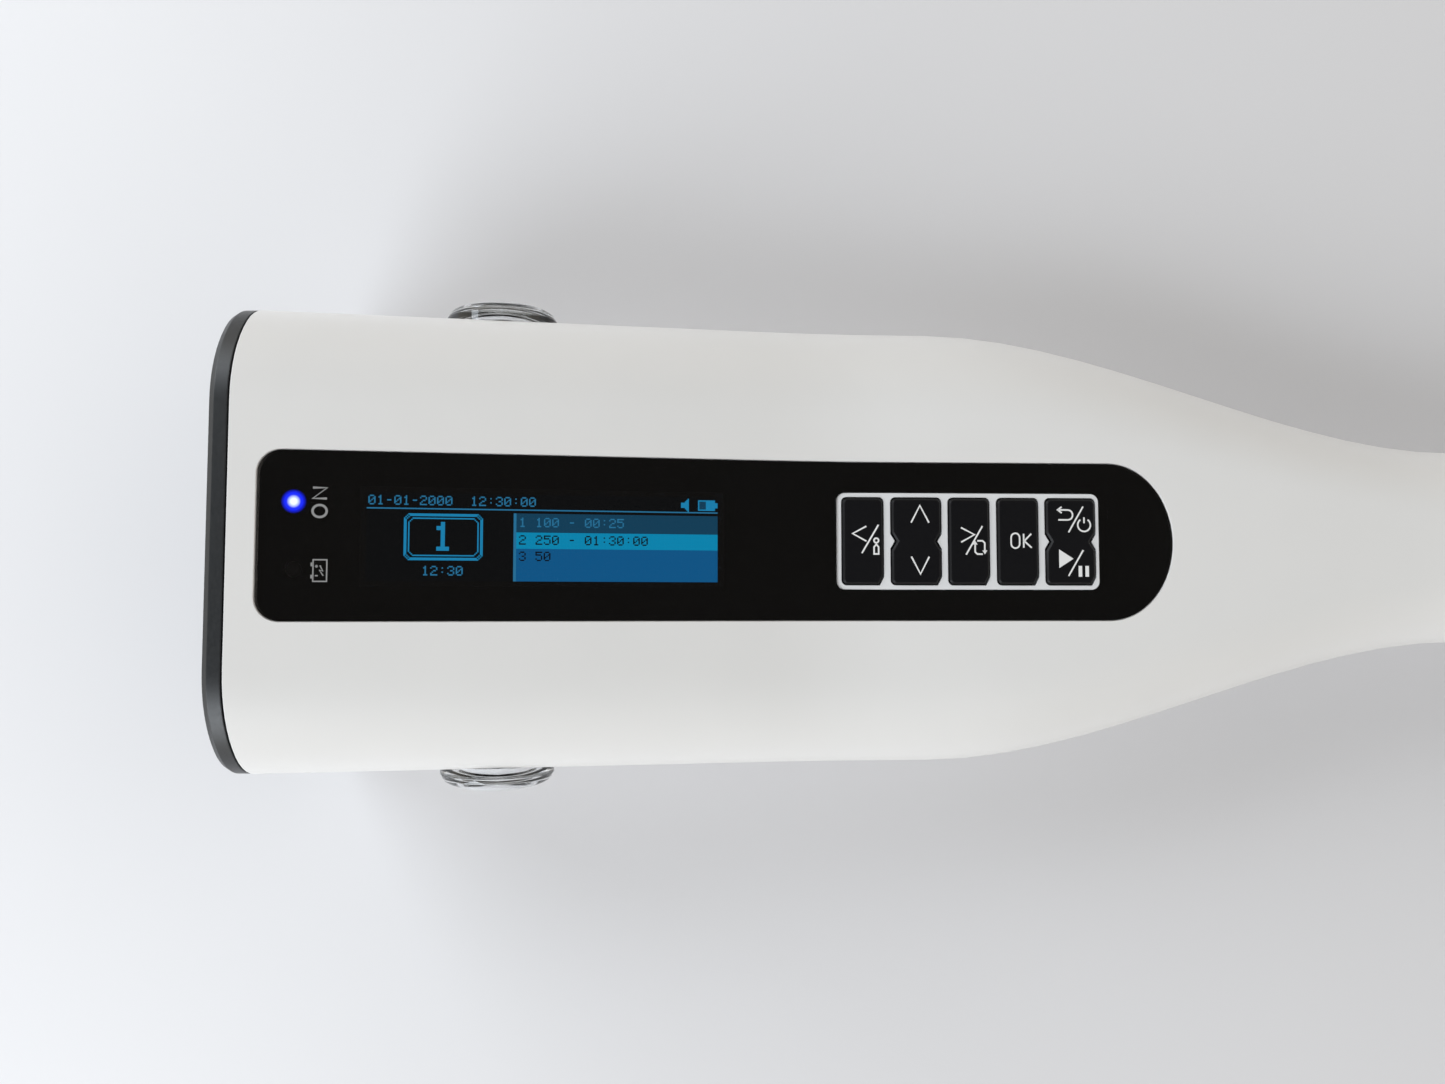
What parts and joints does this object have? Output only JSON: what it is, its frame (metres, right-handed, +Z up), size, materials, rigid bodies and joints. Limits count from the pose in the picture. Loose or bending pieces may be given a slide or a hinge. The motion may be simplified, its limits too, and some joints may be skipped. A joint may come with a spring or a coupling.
{
  "type": "portable infusion pump",
  "caption": "Hand-held infusion pump: flared white housing with slim grip, black end door over a roller pump, glossy front panel with display and keys, clear side lamps.",
  "frame": {"origin": "bottom centre of the bounding box, on the table under the feet", "axes": "+X along the length towards the grip, +Z up, out of the front panel as the pump lies on its back, +Y to the left when looking towards the grip"},
  "size_m": [0.3862, 0.1176, 0.0765],
  "materials": {
    "white_shell": "satin",
    "black_satin": "satin",
    "panel_black": "gloss",
    "display_blue": "gloss",
    "circuit_green": "satin",
    "inner_grey": "matte",
    "inner_dark": "matte",
    "key_rubber": "satin",
    "bezel_white": "satin",
    "led_blue": "gloss",
    "led_clear": "gloss",
    "clear_lens": "gloss",
    "lamp_white": "satin",
    "foot_rubber": "matte",
    "steel": "satin",
    "deck_aluminium": "satin",
    "motor_metal": "satin",
    "roller_white": "satin",
    "brass": "satin",
    "cell_wrap": "satin"
  },
  "bodies": {
    "housing": {"front_shell": "white_shell", "rear_shell": "white_shell", "grip_end_cap": "black_satin", "charge_socket": "black_satin", "front_panel": "panel_black", "panel_mask": "panel_black", "display_glass": "display_blue", "display_board": "circuit_green", "display_bracket": "inner_grey", "keypad_bezel": "bezel_white", "keypad_board": "circuit_green", "key_switches": "inner_grey", "power_led": "led_blue", "battery_led": "led_clear", "led_board": "circuit_green", "lamp_lens_left": "clear_lens", "lamp_board_left": "lamp_white", "lamp_lens_right": "clear_lens", "lamp_board_right": "lamp_white", "latch_keeper": "steel", "door_hinge_pin": "steel", "pump_deck": "deck_aluminium", "bearing_front": "steel", "bearing_rear": "steel", "pump_track": "inner_grey", "motor_bracket": "steel", "pump_motor": "motor_metal", "bubble_sensor": "inner_dark", "pressure_sensor": "inner_dark", "tube_guides": "inner_grey", "deck_screws": "steel", "main_board": "circuit_green", "board_parts": "inner_dark", "speaker": "inner_dark", "battery_holder": "inner_dark", "battery_contacts": "steel", "battery_cell_1": "cell_wrap", "battery_cell_2": "cell_wrap", "battery_cell_3": "cell_wrap", "battery_cell_4": "cell_wrap", "shell_screws": "steel", "rubber_feet": "foot_rubber"},
    "door": {"door_cover": "black_satin", "door_liner": "inner_grey", "door_gasket": "foot_rubber"},
    "latch": {"door_latch": "black_satin"},
    "rotor": {"rotor_carrier": "inner_dark", "drive_gear": "roller_white"},
    "motor_spindle": {"motor_shaft": "steel", "motor_pinion": "brass"},
    "roller_1_body": {"roller_1": "roller_white"},
    "roller_2_body": {"roller_2": "roller_white"},
    "roller_3_body": {"roller_3": "roller_white"},
    "roller_4_body": {"roller_4": "roller_white"},
    "key_back_body": {"key_back": "key_rubber"},
    "key_up_down_body": {"key_up_down": "key_rubber"},
    "key_next_body": {"key_next": "key_rubber"},
    "key_ok_body": {"key_ok": "key_rubber"},
    "key_power_play_body": {"key_power_play": "key_rubber"}
  },
  "joints": [
    {"name": "door_hinge", "type": "hinge", "parent": "housing", "child": "door", "pos_m": [-0.19075, 0, 0.00355], "axis": [0, -1, 0], "range_deg": [0, 90]},
    {"name": "latch_slide", "type": "slide", "parent": "door", "child": "latch", "axis": [0, 0, -1], "range_m": [0, 0.0035], "stiffness_N_per_m": 600, "springref_m": -0.002},
    {"name": "rotor_spin", "type": "hinge", "parent": "housing", "child": "rotor", "pos_m": [-0.1739, 0, 0.033], "axis": [1, 0, 0], "continuous": true},
    {"name": "motor_spin", "type": "hinge", "parent": "housing", "child": "motor_spindle", "pos_m": [-0.1579, 0.026, 0.033], "axis": [1, 0, 0], "continuous": true},
    {"name": "roller_1_spin", "type": "hinge", "parent": "rotor", "child": "roller_1_body", "pos_m": [-0.1799, 0.01202, 0.04502], "axis": [1, 0, 0], "continuous": true},
    {"name": "roller_2_spin", "type": "hinge", "parent": "rotor", "child": "roller_2_body", "pos_m": [-0.1799, -0.01202, 0.04502], "axis": [1, 0, 0], "continuous": true},
    {"name": "roller_3_spin", "type": "hinge", "parent": "rotor", "child": "roller_3_body", "pos_m": [-0.1799, -0.01202, 0.02098], "axis": [1, 0, 0], "continuous": true},
    {"name": "roller_4_spin", "type": "hinge", "parent": "rotor", "child": "roller_4_body", "pos_m": [-0.1799, 0.01202, 0.02098], "axis": [1, 0, 0], "continuous": true},
    {"name": "key_back_press", "type": "slide", "parent": "housing", "child": "key_back_body", "axis": [-0.0523, 0, -0.9986], "range_m": [0, 0.0008], "stiffness_N_per_m": 900, "springref_m": -0.0004},
    {"name": "key_up_down_rock", "type": "hinge", "parent": "housing", "child": "key_up_down_body", "pos_m": [-0.03894, 0, 0.0501], "axis": [0.9986, 0, -0.0523], "range_deg": [-3, 3], "stiffness_Nm_per_rad": 0.12},
    {"name": "key_next_press", "type": "slide", "parent": "housing", "child": "key_next_body", "axis": [-0.0523, 0, -0.9986], "range_m": [0, 0.0008], "stiffness_N_per_m": 900, "springref_m": -0.0004},
    {"name": "key_ok_press", "type": "slide", "parent": "housing", "child": "key_ok_body", "axis": [-0.0523, 0, -0.9986], "range_m": [0, 0.0008], "stiffness_N_per_m": 900, "springref_m": -0.0004},
    {"name": "key_power_play_rock", "type": "hinge", "parent": "housing", "child": "key_power_play_body", "pos_m": [-0.00271, 0, 0.04821], "axis": [0.9986, 0, -0.0523], "range_deg": [-3, 3], "stiffness_Nm_per_rad": 0.12}
  ],
  "couplings": [
    {"joint": "motor_spin", "follows": "rotor_spin", "ratio": -3.3333}
  ]
}
